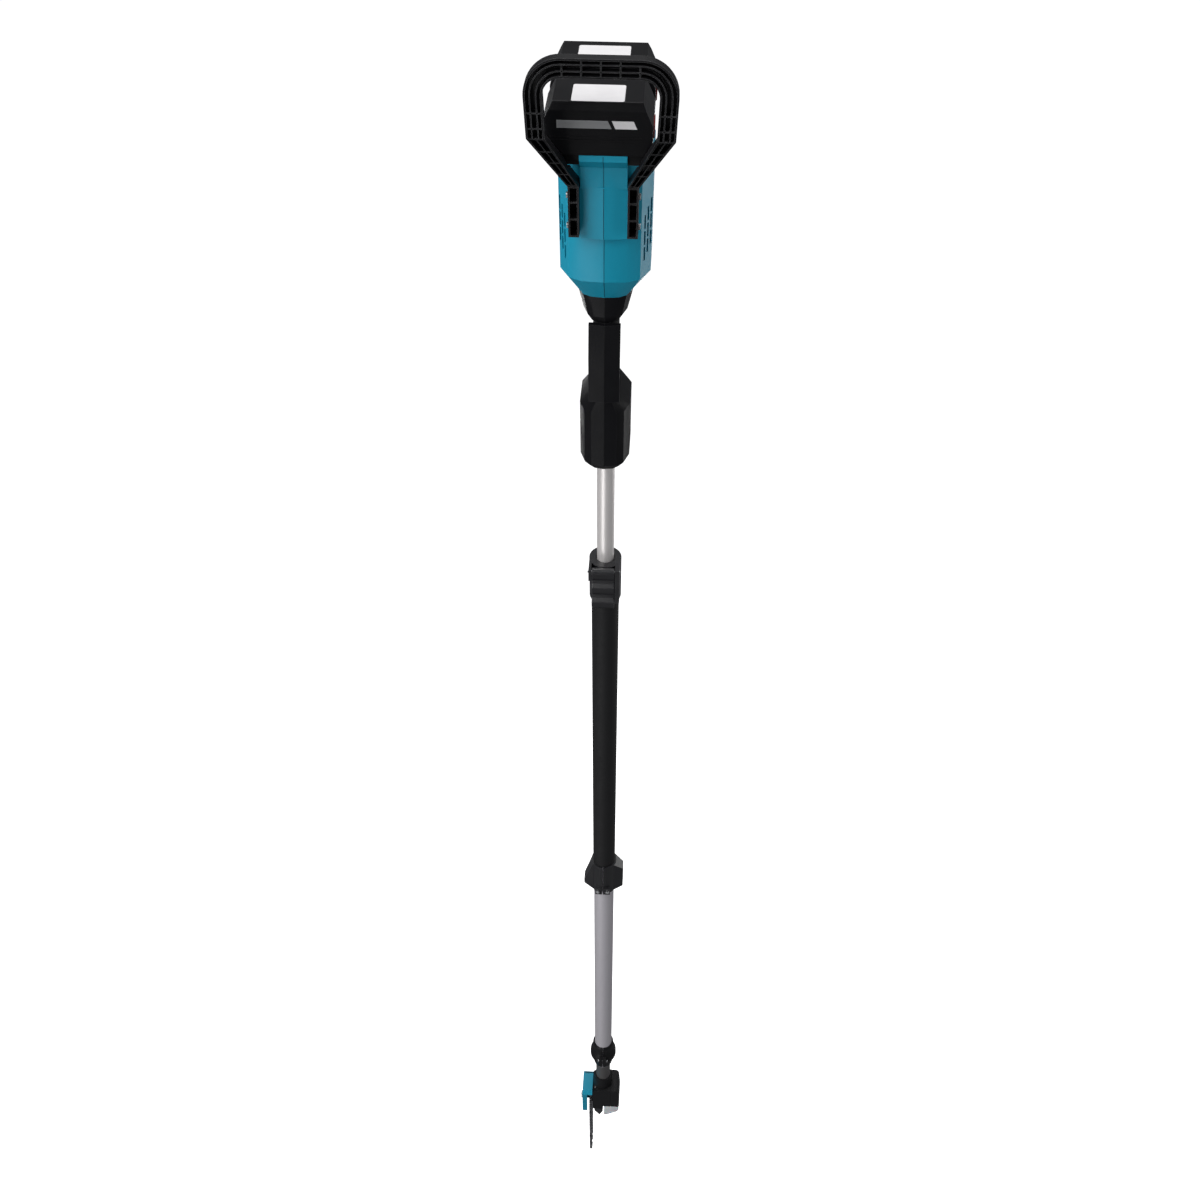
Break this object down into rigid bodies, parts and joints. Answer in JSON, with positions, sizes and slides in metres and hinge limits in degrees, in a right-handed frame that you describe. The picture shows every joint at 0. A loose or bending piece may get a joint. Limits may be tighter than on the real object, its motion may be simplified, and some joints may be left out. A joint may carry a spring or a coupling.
{
  "type": "telescopic pole saw",
  "caption": "Cordless telescopic pole saw: battery motor unit with loop base and D-handle, two-stage clamped pole, and a small chainsaw head with guide bar.",
  "frame": {"origin": "centre of the rear grip, on the pole axis", "axes": "+Z along the pole axis towards the motor and batteries, so the saw head is at -Z; -Y towards the base loop and hand guard; +X towards the oil tank side"},
  "size_m": [0.157, 0.2135, 2.961],
  "materials": {
    "teal_housing": "satin moulded",
    "teal_cover": "satin moulded",
    "black_plastic": "fine moulded texture",
    "loop_plastic": "ribbed moulding",
    "clamp_plastic": "satin moulded",
    "grip_rubber": "soft overmould",
    "battery_plastic": "satin case",
    "battery_button": "moulded",
    "cell_wrap": "wrapped cells",
    "mount_plastic": "moulded",
    "trigger_plastic": "moulded",
    "button_grey": "moulded",
    "sheath_rubber": "smooth sheath",
    "holder_rubber": "moulded",
    "bright_aluminium": "bright drawn",
    "anodised_aluminium": "satin anodised",
    "cast_aluminium": "die cast",
    "bush_nylon": "nylon",
    "steel": "machined",
    "bar_steel": "ground",
    "chain_steel": "dark steel",
    "bumper_steel": "black coated",
    "tank_plastic": "translucent",
    "stator_copper": "wound copper",
    "board": "circuit board"
  },
  "bodies": {
    "rear_unit": {"motor_housing_left": "teal_housing", "motor_housing_right": "teal_housing", "handle_left": "black_plastic", "handle_right": "black_plastic", "grip_overmould": "grip_rubber", "base_loop": "loop_plastic", "loop_screws": "steel", "housing_screws": "steel", "battery_mount_near": "mount_plastic", "battery_mount_far": "mount_plastic", "stator": "stator_copper", "front_bearing": "steel", "rear_bearing": "steel", "control_board": "board", "trigger_switch": "mount_plastic", "control_panel": "mount_plastic", "inner_pipe": "bright_aluminium", "slider_bush": "bush_nylon", "pipe_holder": "holder_rubber", "shaft_bushes": "bush_nylon", "strap_bracket": "cast_aluminium", "trigger_pin": "steel", "lock_off_pin": "steel"},
    "trigger_body": {"trigger": "trigger_plastic"},
    "lock_off_body": {"lock_off_lever": "trigger_plastic"},
    "power_button_body": {"power_button": "button_grey"},
    "battery_near_body": {"battery_near": "battery_plastic", "battery_near_cells": "cell_wrap"},
    "battery_near_button_body": {"battery_near_button": "battery_button"},
    "battery_far_body": {"battery_far": "battery_plastic", "battery_far_cells": "cell_wrap"},
    "battery_far_button_body": {"battery_far_button": "battery_button"},
    "rotor_body": {"rotor": "steel", "cooling_fan": "bush_nylon", "drive_shaft": "steel"},
    "front_pole": {"outer_pipe": "anodised_aluminium", "pole_sheath": "sheath_rubber", "clamp_body": "clamp_plastic", "clamp_pin": "steel", "pipe_bush": "bush_nylon", "hand_stop": "clamp_plastic", "hand_stop_screws": "steel", "head_coupling": "black_plastic", "coupling_bolts": "steel", "gear_case": "cast_aluminium", "saw_body": "black_plastic", "bumper": "bumper_steel", "tank_guard": "black_plastic", "oil_tank": "tank_plastic", "sprocket_cover": "teal_cover", "bar_studs": "steel", "cover_nuts": "steel"},
    "clamp_lever_body": {"clamp_lever": "clamp_plastic"},
    "drive_tube_body": {"drive_tube": "steel"},
    "sprocket_body": {"bevel_gear": "steel", "chain_sprocket": "steel"},
    "bar_body": {"guide_bar": "bar_steel", "saw_chain": "chain_steel"},
    "tension_screw_body": {"tension_screw": "steel"},
    "oil_cap_body": {"oil_cap": "black_plastic"}
  },
  "joints": [
    {"name": "pole_extend", "type": "slide", "parent": "rear_unit", "child": "front_pole", "axis": [0, 0, -1], "range_m": [0, 1.13]},
    {"name": "clamp_lever_turn", "type": "hinge", "parent": "front_pole", "child": "clamp_lever_body", "pos_m": [0, -0.029, -0.382], "axis": [-1, 0, 0], "range_deg": [0, 120]},
    {"name": "trigger_pull", "type": "hinge", "parent": "rear_unit", "child": "trigger_body", "pos_m": [0, -0.014, -0.022], "axis": [-1, 0, 0], "range_deg": [0, 6], "stiffness_Nm_per_rad": 1.2, "springref_deg": -2.86},
    {"name": "lock_off_press", "type": "hinge", "parent": "rear_unit", "child": "lock_off_body", "pos_m": [0, 0.0145, 0.034], "axis": [-1, 0, 0], "range_deg": [0, 6], "stiffness_Nm_per_rad": 0.8, "springref_deg": -2.86},
    {"name": "power_button_press", "type": "slide", "parent": "rear_unit", "child": "power_button_body", "axis": [0, -1, 0], "range_m": [0, 0.0012], "stiffness_N_per_m": 800, "springref_m": -0.0008},
    {"name": "battery_near_slide", "type": "slide", "parent": "rear_unit", "child": "battery_near_body", "axis": [1, 0, 0], "range_m": [0, 0.12]},
    {"name": "battery_near_release", "type": "slide", "parent": "battery_near_body", "child": "battery_near_button_body", "axis": [0, 0, 1], "range_m": [0, 0.004], "stiffness_N_per_m": 600, "springref_m": -0.001},
    {"name": "battery_far_slide", "type": "slide", "parent": "rear_unit", "child": "battery_far_body", "axis": [1, 0, 0], "range_m": [0, 0.12]},
    {"name": "battery_far_release", "type": "slide", "parent": "battery_far_body", "child": "battery_far_button_body", "axis": [0, 0, 1], "range_m": [0, 0.004], "stiffness_N_per_m": 600, "springref_m": -0.001},
    {"name": "motor_spin", "type": "hinge", "parent": "rear_unit", "child": "rotor_body", "pos_m": [0, 0, 0.15], "axis": [0, 0, 1], "continuous": true},
    {"name": "drive_tube_spin", "type": "hinge", "parent": "front_pole", "child": "drive_tube_body", "pos_m": [0, 0, -1.5], "axis": [0, 0, 1], "continuous": true},
    {"name": "sprocket_spin", "type": "hinge", "parent": "front_pole", "child": "sprocket_body", "pos_m": [0, 0, -2.205], "axis": [1, 0, 0], "continuous": true},
    {"name": "tension_screw_turn", "type": "hinge", "parent": "front_pole", "child": "tension_screw_body", "pos_m": [-0.02, 0.02, -2.264], "axis": [0, 0, 1], "range_deg": [0, 2160]},
    {"name": "bar_slacken", "type": "slide", "parent": "front_pole", "child": "bar_body", "axis": [0, 0, 1], "range_m": [0, 0.006]},
    {"name": "oil_cap_turn", "type": "hinge", "parent": "front_pole", "child": "oil_cap_body", "pos_m": [0.02, 0.037, -2.266], "axis": [0, 1, 0], "range_deg": [0, 540]}
  ],
  "couplings": [
    {"joint": "drive_tube_spin", "follows": "motor_spin", "ratio": 1},
    {"joint": "sprocket_spin", "follows": "motor_spin", "ratio": -0.8},
    {"joint": "tension_screw_turn", "follows": "bar_slacken", "rad_per_m": 6283.2}
  ]
}
